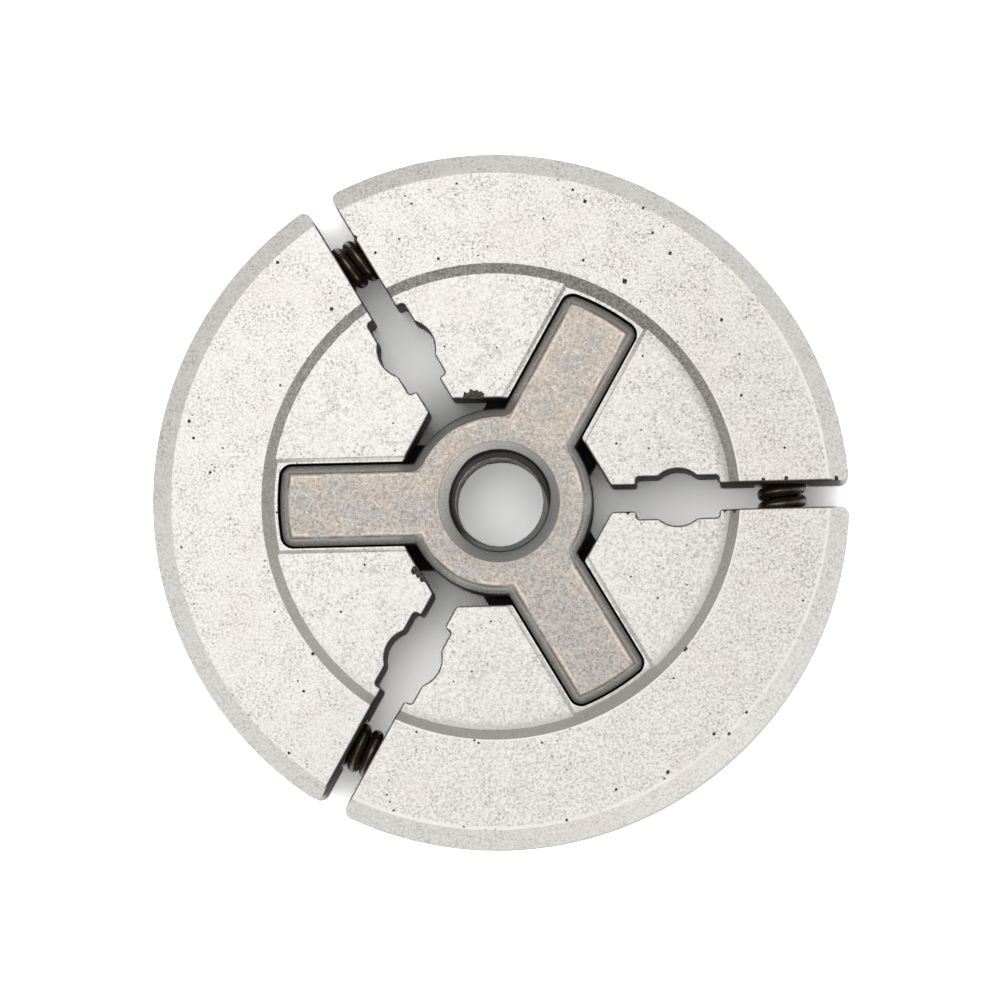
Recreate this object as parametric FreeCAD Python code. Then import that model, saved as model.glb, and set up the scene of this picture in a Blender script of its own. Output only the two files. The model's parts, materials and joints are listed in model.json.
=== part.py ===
import FreeCAD, Part
import math
import os

# Three-shoe centrifugal clutch of a chainsaw, in millimetres and degrees.
# The origin is on the crankshaft axis in the plane of the back faces, and +Z points to the front.
# The arms point to 60, 180 and 300 degrees, and the gaps between the shoes to 0, 120 and 240.

# Layout
SHOE_COUNT = 3
PITCH_ANGLE = 360 / SHOE_COUNT
HALF_PITCH = PITCH_ANGLE / 2

# Friction rim
DRUM_RADIUS = 35.6            # curve of the friction faces, the same as the drum they press on
TRAVEL = 0.9                  # how far a shoe moves out along its arm to reach the drum
RIM_HEIGHT = 13.0
FRONT_BEVEL_WIDTH = 1.9
FRONT_BEVEL_HEIGHT = 1.1
BACK_BEVEL = 0.6
RIM_CORNER_RADIUS = 0.9

# Inner plate of a shoe
PLATE_DROP = 1.0              # how far the front of the plate lies below the front of the rim
PLATE_BACK_DROP = 2.6         # how far the back of the plate lies in front of the back of the rim
RIM_WIDTH = 10.95             # from the friction face in to the top of the step
STEP_SLOPE_WIDTH = 1.0
BACK_STEP_RADIUS = 22.5
LUG_DISTANCE = 10.4           # from the crankshaft axis to the straight ends of the lugs
LUG_TIP_RADIUS = 0.6
LUG_HEEL_RADIUS = 0.3

# Gap between two shoes, at rest
SHOE_GAP = 2.64
RECESS_DEPTH = 0.8
RECESS_LENGTH = 8.3
RECESS_CENTRE = 17.9          # from the crankshaft axis, and the centre of the tool hole as well
RECESS_CORNER_RADIUS = 0.35
TOOL_HOLE_RADIUS = 2.87
TOOL_HOLE_BLEND = 0.9

# Spider
HUB_RADIUS = 9.35
ARM_WIDTH = 8.05
ARM_REACH = 21.95              # the ends of the arms are turned to this radius
ARM_TIP_RADIUS = 1.1
ARM_ROOT_RADIUS = 0.5
SPIDER_BEVEL = 0.83
SPIDER_SINK = 0.1             # how far the front of the spider lies below the plates
BOSS_RADIUS = 7.0
THREAD_RADIUS = 5.0           # plain wall at the outside of the thread
COUNTERSINK_RADIUS = 6.1
COUNTERSINK_DEPTH = 0.9

# Fits between a shoe and the spider
ARM_SIDE_CLEARANCE = 0.22
ARM_TIP_CLEARANCE = 0.25
ARM_FLOOR_CLEARANCE = 0.2
LIP_WIDTH = 0.15              # flat strip beside the arm's pocket
LIP_SLOPE_WIDTH = 0.4         # slope from the strip up to the plate
LIP_DEPTH = 0.25              # how far the strip lies below the plate
FLOOR_MARGIN = 2.3            # how far the floor under an arm reaches past the arm's sides
BOSS_CLEARANCE = 0.7

# Springs
SPRING_INSET = 7.3            # from the friction face in to the spring's axis
SPRING_HEIGHT = 5.6           # of the spring's axis above the back faces
WIRE_RADIUS = 0.65
COIL_RADIUS = 1.85            # of the middle of the wire
COIL_PITCH = 1.36
COIL_TURNS = 6
EYE_RADIUS = 1.7              # of the middle of the wire
EYE_SWEEP = 280
WIRE_SIDES = 8
STEPS_PER_TURN = 10
SPRING_CLEARANCE = 0.3
POST_CLEARANCE = 0.25
POST_OVERHANG = 0.5           # how far a post stands past the eye that it holds

# Worked-out places
PLATE_TOP = RIM_HEIGHT - PLATE_DROP
STEP_TOP_RADIUS = DRUM_RADIUS - RIM_WIDTH
STEP_FOOT_RADIUS = STEP_TOP_RADIUS - STEP_SLOPE_WIDTH
GAP_HALF = SHOE_GAP / 2
RECESS_HALF = GAP_HALF + RECESS_DEPTH
ARM_HALF = ARM_WIDTH / 2
POCKET_HALF = ARM_HALF + ARM_SIDE_CLEARANCE
POCKET_REACH = ARM_REACH + ARM_TIP_CLEARANCE
POCKET_CORNER_RADIUS = ARM_TIP_RADIUS + ARM_SIDE_CLEARANCE
SPIDER_TOP = PLATE_TOP - SPIDER_SINK
ARM_BACK = PLATE_BACK_DROP + ARM_FLOOR_CLEARANCE
FLOOR_HALF = ARM_HALF + FLOOR_MARGIN
SPRING_CENTRE = DRUM_RADIUS - SPRING_INSET
COIL_HALF = COIL_TURNS * COIL_PITCH / 2
COIL_ROOM = COIL_RADIUS + WIRE_RADIUS + SPRING_CLEARANCE
EYE_CENTRE = COIL_HALF + EYE_RADIUS
EYE_HEIGHT = SPRING_HEIGHT - COIL_RADIUS
EYE_ROOM = EYE_RADIUS + WIRE_RADIUS + SPRING_CLEARANCE
POST_RADIUS = EYE_RADIUS - WIRE_RADIUS - POST_CLEARANCE

# Working margins
OVERCUT = 1.0                 # how far a cutting shape passes the surface that it cuts
TOUCH = 1e-4                  # points nearer than this are the same

ORIGIN = FreeCAD.Vector(0, 0, 0)
SHAFT = FreeCAD.Vector(0, 0, 1)
ACROSS = FreeCAD.Vector(0, 1, 0)


def turned(shape, degrees):
    """A copy of a shape, turned about the crankshaft axis."""
    copy = shape.copy()
    copy.rotate(ORIGIN, SHAFT, degrees)
    return copy


def both_sides(shape):
    """A shape on one side of its arm and its mirror image on the other."""
    return [shape, shape.mirror(ORIGIN, ACROSS)]


def upright(radius, low, high, x=0, y=0):
    """A cylinder along the shaft between two heights."""
    return Part.makeCylinder(radius, high - low, FreeCAD.Vector(x, y, low))


def block(x_low, x_high, y_low, y_high, z_low, z_high):
    """A box between two corners."""
    corner = FreeCAD.Vector(x_low, y_low, z_low)
    return Part.makeBox(x_high - x_low, y_high - y_low, z_high - z_low, corner)


def prism(wire, low, high):
    """A flat outline drawn at height zero, raised between two heights."""
    face = Part.Face(wire)
    face.translate(SHAFT * low)
    return face.extrude(SHAFT * (high - low))


def rounded_wire(corners):
    """A closed outline through corners, each a point and the radius of its rounding."""
    spans = []
    for index, (point, radius) in enumerate(corners):
        back = (corners[index - 1][0] - point).normalize()
        ahead = (corners[(index + 1) % len(corners)][0] - point).normalize()
        half_angle = back.getAngle(ahead) / 2
        run = radius / math.tan(half_angle)
        inward = (back + ahead).normalize()
        middle = point + inward * (radius / math.sin(half_angle) - radius)
        spans.append((point + back * run, middle, point + ahead * run))
    edges = []
    for index, (start, middle, end) in enumerate(spans):
        last_end = spans[index - 1][2]
        if last_end.distanceToPoint(start) > TOUCH:
            edges.append(Part.LineSegment(last_end, start).toShape())
        if start.distanceToPoint(end) > TOUCH:
            edges.append(Part.Arc(start, middle, end).toShape())
    return Part.Wire(edges)


def gap_point(along, aside):
    """A point beside the gap at the upper end of a shoe whose arm lies along X."""
    angle = math.radians(HALF_PITCH)
    x = along * math.cos(angle) + aside * math.sin(angle)
    y = along * math.sin(angle) - aside * math.cos(angle)
    return FreeCAD.Vector(x, y, 0)


def lug_point(line_x, line_y, distance):
    """Where the straight end of a lug crosses the line line_x * x + line_y * y = distance."""
    angle = math.radians(HALF_PITCH / 2)
    end_x = math.cos(angle)
    end_y = math.sin(angle)
    spread = end_x * line_y - end_y * line_x
    x = (LUG_DISTANCE * line_y - end_y * distance) / spread
    y = (end_x * distance - LUG_DISTANCE * line_x) / spread
    return FreeCAD.Vector(x, y, 0)


def tool_hole_corners():
    """Half of the round hole for the tool, with its blends into the recess on both sides."""
    blend_reach = TOOL_HOLE_RADIUS + TOOL_HOLE_BLEND
    rise = (RECESS_HALF + TOOL_HOLE_BLEND) / blend_reach
    lean = math.sqrt(1 - rise * rise)
    foot = (TOOL_HOLE_RADIUS - rise * RECESS_HALF) / lean
    return [
        (gap_point(RECESS_CENTRE + foot, RECESS_HALF), TOOL_HOLE_BLEND),
        (gap_point(RECESS_CENTRE, TOOL_HOLE_RADIUS / rise), TOOL_HOLE_RADIUS),
        (gap_point(RECESS_CENTRE - foot, RECESS_HALF), TOOL_HOLE_BLEND),
    ]


def bar(half, reach, corner_radius, low, high):
    """A straight bar along X whose outer end is turned about the shaft and has rounded corners."""
    form = block(0, reach, -half, half, low, high).common(upright(reach, low, high))
    return form.makeFillet(corner_radius, upright_edges(form, reach))


def shoe_outline():
    """Outline of a shoe seen from the front, with only the mouth of its pocket, and open past the rim."""
    angle = math.radians(HALF_PITCH)
    recess_outer = RECESS_CENTRE + RECESS_LENGTH / 2
    recess_inner = RECESS_CENTRE - RECESS_LENGTH / 2
    half = [
        (gap_point(2 * DRUM_RADIUS, GAP_HALF), 0),
        (gap_point(recess_outer, GAP_HALF), RECESS_CORNER_RADIUS),
        (gap_point(recess_outer, RECESS_HALF), RECESS_CORNER_RADIUS),
        *tool_hole_corners(),
        (gap_point(recess_inner, RECESS_HALF), RECESS_CORNER_RADIUS),
        (gap_point(recess_inner, GAP_HALF), RECESS_CORNER_RADIUS),
        (lug_point(math.sin(angle), -math.cos(angle), GAP_HALF), LUG_TIP_RADIUS),
        (lug_point(0, 1, POCKET_HALF), LUG_HEEL_RADIUS),
        (FreeCAD.Vector(POCKET_REACH / 2, POCKET_HALF, 0), 0),
    ]
    other_half = [(FreeCAD.Vector(point.x, -point.y, 0), radius) for point, radius in reversed(half)]
    return rounded_wire(half + other_half)


def shoe_section():
    """Section of a shoe, turned about the axis of the drum that the shoe's face fits."""
    drum_room = DRUM_RADIUS + OVERCUT
    slope = FRONT_BEVEL_HEIGHT / FRONT_BEVEL_WIDTH
    corners = [
        (0, PLATE_BACK_DROP),
        (BACK_STEP_RADIUS, PLATE_BACK_DROP),
        (BACK_STEP_RADIUS, 0),
        (DRUM_RADIUS - BACK_BEVEL, 0),
        (drum_room, BACK_BEVEL + OVERCUT),
        (drum_room, RIM_HEIGHT - FRONT_BEVEL_HEIGHT - OVERCUT * slope),
        (DRUM_RADIUS - FRONT_BEVEL_WIDTH, RIM_HEIGHT),
        (STEP_TOP_RADIUS, RIM_HEIGHT),
        (STEP_FOOT_RADIUS, PLATE_TOP),
        (0, PLATE_TOP),
    ]
    points = [FreeCAD.Vector(radius - TRAVEL, 0, z) for radius, z in corners]
    wire = Part.makePolygon(points + points[:1])
    return Part.Face(wire).revolve(FreeCAD.Vector(-TRAVEL, 0, 0), SHAFT, 360)


def rim_blank():
    """The shoe's outline as wide as the drum, with the four upright rim corners rounded."""
    drum = upright(DRUM_RADIUS, 0, RIM_HEIGHT, x=-TRAVEL)
    blank = drum.common(prism(shoe_outline(), 0, RIM_HEIGHT))
    corners = []
    for edge in blank.Edges:
        ends = [vertex.Point for vertex in edge.Vertexes]
        reach = math.hypot(ends[0].x + TRAVEL, ends[0].y)
        if len(ends) == 2 and abs(ends[0].z - ends[1].z) > TOUCH and abs(reach - DRUM_RADIUS) < TOUCH:
            corners.append(edge)
    return blank.makeFillet(RIM_CORNER_RADIUS, corners)


def pocket_floor():
    """Floor under the arm, which keeps the shoe from leaving the arm towards the front."""
    angle = math.radians(HALF_PITCH)
    point = RECESS_HALF / math.sin(angle)
    shoulder = point + FLOOR_HALF / math.tan(angle)
    outer = POCKET_REACH + OVERCUT
    outline = Part.makePolygon([
        FreeCAD.Vector(point, 0, 0),
        FreeCAD.Vector(shoulder, -FLOOR_HALF, 0),
        FreeCAD.Vector(outer, -FLOOR_HALF, 0),
        FreeCAD.Vector(outer, FLOOR_HALF, 0),
        FreeCAD.Vector(shoulder, FLOOR_HALF, 0),
        FreeCAD.Vector(point, 0, 0),
    ])
    boss_room = upright(BOSS_RADIUS + BOSS_CLEARANCE, -OVERCUT, PLATE_BACK_DROP + OVERCUT)
    return prism(outline, 0, PLATE_BACK_DROP).cut(boss_room)


def pocket_lip():
    """Cutting shape for the lowered strip beside the pocket, which runs out to the foot of the step."""
    low = PLATE_TOP - LIP_DEPTH
    foot = POCKET_HALF + LIP_WIDTH
    top = foot + LIP_SLOPE_WIDTH * (LIP_DEPTH + OVERCUT) / LIP_DEPTH
    trough = Part.makePolygon([
        FreeCAD.Vector(0, -foot, low),
        FreeCAD.Vector(0, foot, low),
        FreeCAD.Vector(0, top, PLATE_TOP + OVERCUT),
        FreeCAD.Vector(0, -top, PLATE_TOP + OVERCUT),
        FreeCAD.Vector(0, -foot, low),
    ])
    trough = Part.Face(trough).extrude(FreeCAD.Vector(DRUM_RADIUS, 0, 0))
    low_radius = STEP_FOOT_RADIUS - LIP_DEPTH * STEP_SLOPE_WIDTH / PLATE_DROP
    reach = Part.makeCone(low_radius, STEP_FOOT_RADIUS, LIP_DEPTH, FreeCAD.Vector(-TRAVEL, 0, low))
    reach = reach.fuse(upright(STEP_FOOT_RADIUS, PLATE_TOP, PLATE_TOP + OVERCUT, x=-TRAVEL))
    return trough.common(reach)


def spring_seat():
    """Room cut from the back for half a spring, beside the gap at the shoe's upper end."""
    coil_end = COIL_HALF + WIRE_RADIUS + SPRING_CLEARANCE
    coil_start = FreeCAD.Vector(SPRING_CENTRE, -coil_end, SPRING_HEIGHT)
    left = SPRING_CENTRE - COIL_ROOM
    right = SPRING_CENTRE + COIL_ROOM
    eye_roof = EYE_HEIGHT + WIRE_RADIUS + SPRING_CLEARANCE
    room = Part.makeCylinder(COIL_ROOM, coil_end, coil_start, ACROSS)
    room = room.fuse(block(left, right, -coil_end, 0, -OVERCUT, SPRING_HEIGHT))
    eye = upright(EYE_ROOM, -OVERCUT, eye_roof, x=SPRING_CENTRE, y=-EYE_CENTRE)
    eye = eye.fuse(block(SPRING_CENTRE - EYE_ROOM, SPRING_CENTRE + EYE_ROOM, -EYE_CENTRE, 0, -OVERCUT, eye_roof))
    post_end = EYE_HEIGHT - WIRE_RADIUS - POST_OVERHANG
    post = upright(POST_RADIUS, post_end, eye_roof + OVERCUT, x=SPRING_CENTRE, y=-EYE_CENTRE)
    return turned(room.fuse(eye.cut(post)), HALF_PITCH)


def shoe():
    """One shoe at rest, straddling an arm that lies along X."""
    pocket = bar(POCKET_HALF, POCKET_REACH, POCKET_CORNER_RADIUS, -OVERCUT, RIM_HEIGHT + OVERCUT)
    body = rim_blank().common(shoe_section()).cut(pocket)
    body = body.fuse(pocket_floor()).cut(pocket_lip())
    for seat in both_sides(spring_seat()):
        body = body.cut(seat)
    return body.removeSplitter()


def spider():
    """Hub and arms in one piece, with a bevel all round the front and a boss behind."""
    star = upright(HUB_RADIUS, ARM_BACK, SPIDER_TOP)
    for number in range(SHOE_COUNT):
        arm = bar(ARM_HALF, ARM_REACH, ARM_TIP_RADIUS, ARM_BACK, SPIDER_TOP)
        star = star.fuse(turned(arm, HALF_PITCH + number * PITCH_ANGLE))
    star = star.removeSplitter()
    star = star.makeFillet(ARM_ROOT_RADIUS, upright_edges(star, HUB_RADIUS))
    front = [edge for edge in star.Edges if abs(edge.BoundBox.ZMin - SPIDER_TOP) < TOUCH]
    star = star.makeChamfer(SPIDER_BEVEL, front)
    star = star.fuse(upright(BOSS_RADIUS, 0, ARM_BACK)).removeSplitter()
    star = star.cut(upright(THREAD_RADIUS, -OVERCUT, SPIDER_TOP + OVERCUT))
    for height, direction in ((SPIDER_TOP, -1), (0, 1)):
        mouth = FreeCAD.Vector(0, 0, height)
        sink = Part.makeCone(COUNTERSINK_RADIUS, THREAD_RADIUS, COUNTERSINK_DEPTH, mouth, SHAFT * direction)
        star = star.cut(sink)
    return star


def upright_edges(solid, reach):
    """The straight edges along the shaft that stand a given distance from it."""
    found = []
    for edge in solid.Edges:
        box = edge.BoundBox
        middle = math.hypot(box.Center.x, box.Center.y)
        if box.DiagonalLength - box.ZLength < TOUCH and abs(middle - reach) < TOUCH:
            found.append(edge)
    return found


def spring_path():
    """Points along the wire of one spring: an eye, the close turns and the other eye."""
    points = []
    eye_steps = round(STEPS_PER_TURN * EYE_SWEEP / 360)
    turn_steps = COIL_TURNS * STEPS_PER_TURN
    for step in range(eye_steps):
        angle = math.radians(EYE_SWEEP * (step / eye_steps - 1))
        x = SPRING_CENTRE + EYE_RADIUS * math.sin(angle)
        points.append(FreeCAD.Vector(x, -EYE_CENTRE + EYE_RADIUS * math.cos(angle), EYE_HEIGHT))
    for step in range(turn_steps + 1):
        angle = math.tau * step / STEPS_PER_TURN
        x = SPRING_CENTRE + COIL_RADIUS * math.sin(angle)
        z = SPRING_HEIGHT - COIL_RADIUS * math.cos(angle)
        points.append(FreeCAD.Vector(x, -COIL_HALF + COIL_PITCH * step / STEPS_PER_TURN, z))
    for step in range(1, eye_steps + 1):
        angle = math.radians(EYE_SWEEP * step / eye_steps)
        x = SPRING_CENTRE + EYE_RADIUS * math.sin(angle)
        points.append(FreeCAD.Vector(x, EYE_CENTRE - EYE_RADIUS * math.cos(angle), EYE_HEIGHT))
    return points


def mitred_wire(points, radius, sides):
    """A solid wire of many-sided section along straight runs, mitred where two runs meet."""
    runs = [(after - before).normalize() for before, after in zip(points, points[1:])]
    side = runs[0].cross(SHAFT).normalize()
    rise = side.cross(runs[0])
    ring = []
    for number in range(sides):
        angle = math.tau * number / sides
        ring.append(points[0] + side * (radius * math.cos(angle)) + rise * (radius * math.sin(angle)))
    faces = [Part.Face(Part.makePolygon(ring + ring[:1]))]
    for index, run in enumerate(runs):
        plane = run if run is runs[-1] else run + runs[index + 1]
        place = points[index + 1]
        moved = [corner + run * ((place - corner).dot(plane) / run.dot(plane)) for corner in ring]
        for number in range(sides):
            near = ring[number - 1]
            far = ring[number]
            quad = Part.makePolygon([near, far, moved[number], moved[number - 1], near])
            faces.append(Part.Face(quad))
        ring = moved
    faces.append(Part.Face(Part.makePolygon(ring + ring[:1])))
    shell = Part.makeShell(faces)
    shell.sewShape()
    solid = Part.makeSolid(shell)
    solid.fix(TOUCH, TOUCH, TOUCH)
    return solid


def save(shape, node):
    """Write one sub-part, which has to be a single sound solid."""
    if not shape.isValid() or len(shape.Solids) != 1 or shape.Volume <= 0:
        raise ValueError(f"{node} is not one sound solid")
    shape.Solids[0].exportStep(f"parts/{node}.step")


def main():
    os.makedirs("parts", exist_ok=True)
    save(spider(), "spider")
    one_shoe = shoe()
    one_spring = mitred_wire(spring_path(), WIRE_RADIUS, WIRE_SIDES)
    for number in range(SHOE_COUNT):
        save(turned(one_shoe, HALF_PITCH + number * PITCH_ANGLE), f"shoe_{number + 1}")
        save(turned(one_spring, number * PITCH_ANGLE), f"spring_{number + 1}")


main()
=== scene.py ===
import json
import math

import bmesh
import bpy
from mathutils import Matrix, Vector


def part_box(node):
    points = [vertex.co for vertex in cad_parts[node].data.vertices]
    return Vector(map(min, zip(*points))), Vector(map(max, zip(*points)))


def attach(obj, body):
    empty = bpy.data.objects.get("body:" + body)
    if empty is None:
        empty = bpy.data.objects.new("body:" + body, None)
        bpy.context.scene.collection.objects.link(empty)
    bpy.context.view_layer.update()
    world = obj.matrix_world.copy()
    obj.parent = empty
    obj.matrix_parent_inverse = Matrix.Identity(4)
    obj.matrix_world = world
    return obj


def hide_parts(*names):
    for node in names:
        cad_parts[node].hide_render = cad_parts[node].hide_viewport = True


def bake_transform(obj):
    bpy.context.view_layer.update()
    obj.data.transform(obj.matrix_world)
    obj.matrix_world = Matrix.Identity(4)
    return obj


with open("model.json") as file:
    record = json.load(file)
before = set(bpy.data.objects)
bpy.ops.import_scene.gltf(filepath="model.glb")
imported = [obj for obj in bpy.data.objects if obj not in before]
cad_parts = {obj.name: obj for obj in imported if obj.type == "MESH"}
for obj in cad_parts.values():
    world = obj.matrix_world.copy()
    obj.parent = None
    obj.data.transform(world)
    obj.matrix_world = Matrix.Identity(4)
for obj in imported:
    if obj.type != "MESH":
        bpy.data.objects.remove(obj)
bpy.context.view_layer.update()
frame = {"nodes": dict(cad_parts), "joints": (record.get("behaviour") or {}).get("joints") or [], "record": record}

# Looks of a three-shoe centrifugal clutch, in metres and radians
MM = 0.001

# Places taken from the frame
mounts = {mount["name"]: mount for mount in frame["record"]["mounts"]}
spring_low, spring_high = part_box("spring_1")
SHOE_COUNT = len(frame["joints"])
PITCH_ANGLE = math.tau / SHOE_COUNT
SHOE_TRAVEL = frame["record"]["behaviour"]["joints"][0]["range_m"][1]
RIM_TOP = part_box("shoe_1")[1].z
ARM_REACH = -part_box("spider")[0].x
THREAD_RADIUS = mounts["crank_thread"]["dims"]["r_mm"] * MM
THREAD_LENGTH = mounts["crank_thread"]["dims"]["length_mm"] * MM
THREAD_TOP = mounts["crank_thread"]["pos_m"][2] + THREAD_LENGTH / 2
SPIDER_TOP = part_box("spider")[1].z
TOOL_HOLE_CENTRE = mounts["tool_holes"]["dims"]["pcd_mm"] * MM / 2
TOOL_HOLE_RADIUS = mounts["tool_holes"]["dims"]["hole_r_mm"] * MM

# Flat front of the spider inside its bevels
ARM_BEVEL = 0.83 * MM
ARM_FLAT_REACH = ARM_REACH - ARM_BEVEL
ARM_FLAT_HALF = 3.2 * MM
HUB_FLAT_RADIUS = 8.52 * MM
SINK_RADIUS = 6.1 * MM

# Zones of a shoe: the sloping ring, the rim's outer face, heights, and the gap beside it
STEP_FOOT = 23.65 * MM
STEP_TOP = 24.65 * MM
STEP_ZONE = 27 * MM
FACE_ZONE = 34 * MM
FACE_BLEND = 0.5 * MM
ZONE_BLEND = MM
UNDER_ZONE = 4.5 * MM
PLATE_TOP = 12 * MM
GAP_HALF = 1.32 * MM
RECESS_HALF = 2.12 * MM
RECESS_LENGTH = 8.3 * MM
RECESS_CORNER = 0.35 * MM
LUG_DISTANCE = 10.4 * MM
GAP_START = 11 * MM
GAP_ZONE = 4.5 * MM

# Eased edges
GAP_EDGE = 0.08 * MM
SHOE_EDGE = 0.035 * MM
SPIDER_EDGE = 0.05 * MM
EDGE_STEPS = 3
FLAT_ANGLE = math.radians(0.5)
EDGE_ANGLE = math.radians(24)
CREASE_ANGLE = math.radians(31)
MERGE_DISTANCE = 0.001 * MM

# Wear of the shoes: how far right and up from the axis each chip lies, and its width, in millimetres
CHIPS = (
    (-2.3, 10.55, 1.5),
    (-1.7, 10.6, 1.1),
    (-3.0, 10.55, 1.0),
    (-8.5, -6.8, 1.0),
    (-8.1, -7.2, 0.8),
    (-7.7, -7.6, 0.9),
    (12.9, -1.4, 0.5),
    (22.6, -1.4, 0.5),
    (23.6, -1.45, 0.6),
    (-13.8, 26.7, 0.6),
    (-13.1, 22.1, 0.4),
    (26.5, 1.5, 0.5),
    (28.8, 1.6, 0.5),
    (33.8, 1.5, 0.6),
    (8.1, 31.0, 0.35),
    (9.3, 29.8, 0.45),
    (15.1, 29.0, 0.35),
    (16.0, 26.5, 0.35),
    (22.7, 17.6, 0.4),
    (24.5, 10.0, 0.35),
    (-21.6, 24.4, 0.4),
    (-16.3, 19.6, 0.45),
    (-30.8, 8.7, 0.4),
    (-30.4, 7.0, 0.35),
    (21.0, -23.8, 0.4),
    (11.1, -29.1, 0.35),
    (-19.9, -18.6, 0.35),
    (13.1, 21.7, 0.6),
    (17.7, 24.4, 0.45),
    (9.0, 23.9, 0.35),
    (-5.5, 24.4, 0.35),
    (-11.8, 25.15, 0.35),
    (18.4, -15.2, 0.4),
    (22.5, -23.8, 0.4),
    (16.3, -27.5, 0.45),
    (24.3, -21.7, 0.35),
    (6.1, -32.05, 0.35),
    (-21.5, -24.75, 0.35),
    (-18.9, -14.9, 0.4),
)
CHIP_HEIGHT = RIM_TOP + MM
PITS_PER_AREA = 30000.0
SMALLEST_PIT = 0.12 * MM
LARGEST_PIT = 0.30 * MM
STONE_SUBDIVISIONS = 2
STONE_LUMPS = {"Scale": 2.2, "Detail": 1.0}

# Spring wire
WIRE_RADIUS = 0.65 * MM
COIL_RADIUS = 1.85 * MM
COIL_PITCH = 1.36 * MM
COIL_TURNS = 6
EYE_RADIUS = 1.7 * MM
EYE_SWEEP = math.radians(280)
STEPS_PER_TURN = 36
WIRE_SIDES = 16
SPRING_CENTRE = (spring_low.x + spring_high.x) / 2
SPRING_HEIGHT = (spring_low.z + spring_high.z) / 2
COIL_HALF = COIL_TURNS * COIL_PITCH / 2
EYE_CENTRE = COIL_HALF + EYE_RADIUS
EYE_HEIGHT = SPRING_HEIGHT - COIL_RADIUS

# Crankshaft thread
THREAD_PITCH = 1.25 * MM
THREAD_DEPTH = 0.60 * MM
THREAD_ROOT_WIDTH = 0.95 * MM
THREAD_CREST_WIDTH = 0.3 * MM
THREAD_SINK = 0.02 * MM
THREAD_STEPS = 64
THREAD_TURN = math.radians(105)
THREAD_BOTTOM = THREAD_TOP - THREAD_LENGTH + THREAD_ROOT_WIDTH / 2
SINK_CLEAR = 8 * MM

# In the finishes below, a pair of numbers is where a fade starts and where it is full.

# Pressed iron of the shoes: its noise and its relief
GRAIN = {"size": 0.27 * MM, "detail": 3.0, "roughness": 0.7}
COARSE_GRAIN = {"size": 0.29 * MM, "detail": 3.0, "roughness": 0.75}
SWARMS = {"size": 2.5 * MM, "detail": 3.0}
PATCHES = {"size": 6 * MM}
SPECKS = {"spacing": 0.48 * MM, "largest": 0.17 * MM}
SPECK_EDGE = (1.0, 0.6)
TURNING = {"size": 0.12 * MM}
TURNING_STRETCH = (0.03, 0.03, 1)
SHOE_RELIEF = {"depth": 0.03 * MM, "strength": 0.5}
SHOE_ROUGHNESS = 0.48
GRAIN_ROUGHNESS = 0.2
IRON_METALLIC = 0.85

# Pressed iron of the shoes: its colours
PALE_IRON = (1.0, 0.985, 0.945, 1)
# Darker, rosier iron for the painted shade on the right side
ROSY_SHADED_IRON = (0.90, 0.82, 0.76, 1)
MOTTLE_GREY = (0.50, 0.465, 0.43, 1)
SPECK_GREY = (0.30, 0.28, 0.25, 1)
PATCH_ROSE = (0.90, 0.80, 0.75, 1)
# Lit and shaded greys of the sloping ring, for its painted shade
RING_LIT_GREY = (0.58, 0.57, 0.52, 1)
RING_SHADED_GREY = (0.175, 0.172, 0.143, 1)
RING_GLINT = (0.70, 0.69, 0.65, 1)
# Inner walls, painted near black as shade, with grey grain
WALL_SHADE_BLACK = (0.10, 0.095, 0.085, 1)
WALL_GREY = (0.30, 0.29, 0.27, 1)
WALL_TOP_SHADE_BLACK = (0.04, 0.038, 0.035, 1)
GROUND_GREY = (0.34, 0.33, 0.31, 1)
# Painted shade of the low faces that look up
UNDER_SHADE_BLACK = (0.03, 0.03, 0.03, 1)

# Pressed iron of the shoes: faces told apart by how far they look up
LEVEL_FACE = (0.80, 0.95)
BEVEL_FACE = (0.95, 0.90)
RING_FACE = (0.93, 0.80)
WALL_FACE = (0.45, 0.2)
UPWARD_FACE = (0.3, 0.7)

# Pressed iron of the shoes: zones of its marks
INSIDE_STEP = (STEP_ZONE, STEP_ZONE - ZONE_BLEND)
OUTSIDE_STEP = (STEP_ZONE, STEP_ZONE + ZONE_BLEND)
INSIDE_FACE = (FACE_ZONE, FACE_ZONE - ZONE_BLEND)
OUTER_FACE = (FACE_ZONE, FACE_ZONE + FACE_BLEND)
UNDER_HEIGHT = (UNDER_ZONE, UNDER_ZONE - ZONE_BLEND)
LOW_SIDE = (-12 * MM, 24 * MM)
# Painted shade: the rim's bevel is greyer towards the upper left
SHADED_FAR_SIDE = (30 * MM, 44 * MM)
# Painted shade: the right side is darker and rosier
ROSY_SHADE_SIDE = (4 * MM, 30 * MM)
ROSY_SLANT = 0.4
# Painted shade: the ring is darker towards the top
RING_SHADE_SIDE = (-20 * MM, 24 * MM)
# Painted highlight lines along the top of the ring's slope and of the rim's bevel
RING_HIGHLIGHT_RADIUS = STEP_TOP + 0.08 * MM
RING_HIGHLIGHT_LINE = (0.14 * MM, 0.04 * MM)
RIM_HIGHLIGHT_RADIUS = 33.58 * MM
RIM_HIGHLIGHT_LINE = (0.35 * MM, 0.12 * MM)
# Painted shadow on the plate at the ring's foot
FOOT_START = (STEP_FOOT - 1.1 * MM, STEP_FOOT)
FOOT_END = (STEP_TOP, STEP_FOOT + 0.4 * MM)
POCKET_SIDE = (1.7 * MM, 1.3 * MM)
POCKET_HEIGHT = (PLATE_TOP - MM, PLATE_TOP - 0.3 * MM)
# Painted shade: a dark line along the gaps
GAP_SHADE_LINE = (0.20 * MM, 0.08 * MM)
# Painted shade: the inner walls are blacker towards their top
WALL_TOP = (RIM_TOP - 4 * MM, RIM_TOP - 2 * MM)
# Painted shade at the foot of the outer face, next to the floor
WALL_FOOT_SHADE = (2.6 * MM, 0.8 * MM)

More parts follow.
